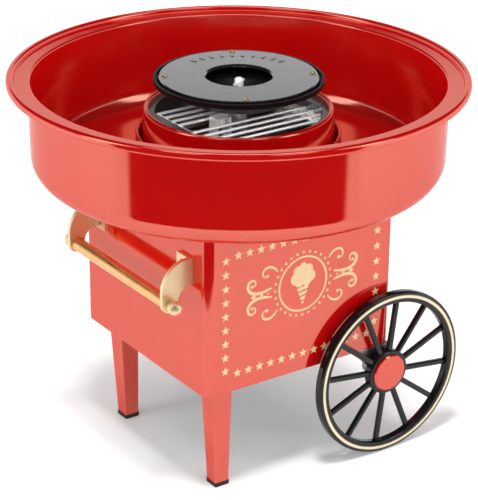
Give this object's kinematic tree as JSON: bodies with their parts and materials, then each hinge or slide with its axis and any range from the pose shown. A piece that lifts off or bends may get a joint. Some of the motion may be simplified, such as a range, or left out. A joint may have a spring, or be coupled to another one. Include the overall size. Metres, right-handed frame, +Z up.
{
  "type": "cotton candy machine",
  "caption": "Table-top cotton candy machine shaped as a fair cart: a wide removable bowl round a heated spinning head, two spoked wheels, two legs and a push handle.",
  "frame": {"origin": "on the floor, under the centre of the bowl and the spindle", "axes": "+Z up, +X towards the wheels, -X towards the push handle, -Y the printed side, +Y the side with the switch and the cord inlet"},
  "size_m": [0.305, 0.305, 0.2648],
  "materials": {
    "red_plastic": "glossy moulded red",
    "black_plastic": "glossy moulded black",
    "hidden_plastic": "plain matt black",
    "gold_plastic": "satin gold lacquer",
    "foot_rubber": "matt black",
    "bright_steel": "bright plated steel",
    "steel": "plain steel",
    "aluminium": "spun sheet",
    "head_metal": "glossy black enamel",
    "brass": "bright brass",
    "ceramic": "fired white ceramic",
    "heater_steel": "heat-tinted steel sheath",
    "magnet": "sintered ferrite",
    "copper": "bare copper",
    "bush_bronze": "sintered bronze",
    "carbon": "pressed carbon"
  },
  "bodies": {
    "base": {"axle": "steel", "axle_bracket_front": "steel", "axle_bracket_rear": "steel", "axle_bracket_screws": "steel", "axle_washers": "steel", "body_box": "red_plastic", "bottom_cover": "hidden_plastic", "bottom_cover_screws": "steel", "ceramic_block_handle_end": "ceramic", "ceramic_block_wheel_end": "ceramic", "cord_gland": "black_plastic", "cord_gland_nut": "black_plastic", "cutout_bracket": "bright_steel", "deck_screws": "steel", "foot_tip_front": "foot_rubber", "foot_tip_rear": "foot_rubber", "handle_bar": "gold_plastic", "handle_bracket_front": "gold_plastic", "handle_bracket_rear": "gold_plastic", "handle_finials": "gold_plastic", "handle_screws": "steel", "heater_guard": "bright_steel", "heater_tray": "aluminium", "heating_tube_front": "heater_steel", "heating_tube_rear": "heater_steel", "leg_front": "red_plastic", "leg_rear": "red_plastic", "leg_screws": "steel", "motor_bracket": "steel", "motor_bracket_screws": "steel", "motor_brushes": "carbon", "motor_bushes": "bush_bronze", "motor_can": "steel", "motor_end_cap": "hidden_plastic", "motor_grommets": "foot_rubber", "motor_magnets": "magnet", "motor_screws": "steel", "switch_housing": "black_plastic", "terminal_block": "hidden_plastic", "thermal_cutout": "bright_steel", "top_deck": "red_plastic", "wheel_retainers": "steel"},
    "bowl": {"bowl": "red_plastic"},
    "spindle": {"motor_shaft": "steel", "shaft_pin": "bright_steel", "motor_armature": "steel", "motor_windings": "copper", "commutator": "copper", "cooling_fan": "hidden_plastic"},
    "head": {"head_sleeve": "bright_steel", "head_pan": "head_metal", "candy_cup": "head_metal", "head_plate": "head_metal", "head_screws": "brass", "head_stud": "bright_steel"},
    "wheel_front": {"wheel_front": "black_plastic", "hub_cap_front": "red_plastic"},
    "wheel_rear": {"wheel_rear": "black_plastic", "hub_cap_rear": "red_plastic"},
    "rocker": {"switch_rocker": "black_plastic"}
  },
  "joints": [
    {"name": "bowl_lift", "type": "slide", "parent": "base", "child": "bowl", "axis": [0, 0, 1], "range_m": [0, 0.12]},
    {"name": "spindle_spin", "type": "hinge", "parent": "base", "child": "spindle", "pos_m": [0, 0, 0.2], "axis": [0, 0, 1], "continuous": true},
    {"name": "head_lift", "type": "slide", "parent": "spindle", "child": "head", "axis": [0, 0, 1], "range_m": [0, 0.05]},
    {"name": "wheel_front_spin", "type": "hinge", "parent": "base", "child": "wheel_front", "pos_m": [0.0693, -0.0818, 0.0595], "axis": [0, 1, 0], "continuous": true},
    {"name": "wheel_rear_spin", "type": "hinge", "parent": "base", "child": "wheel_rear", "pos_m": [0.0693, 0.0818, 0.0595], "axis": [0, 1, 0], "continuous": true},
    {"name": "power_rocker", "type": "hinge", "parent": "base", "child": "rocker", "pos_m": [-0.0505, 0.0744, 0.112], "axis": [1, 0, 0], "range_deg": [0, 24]}
  ]
}
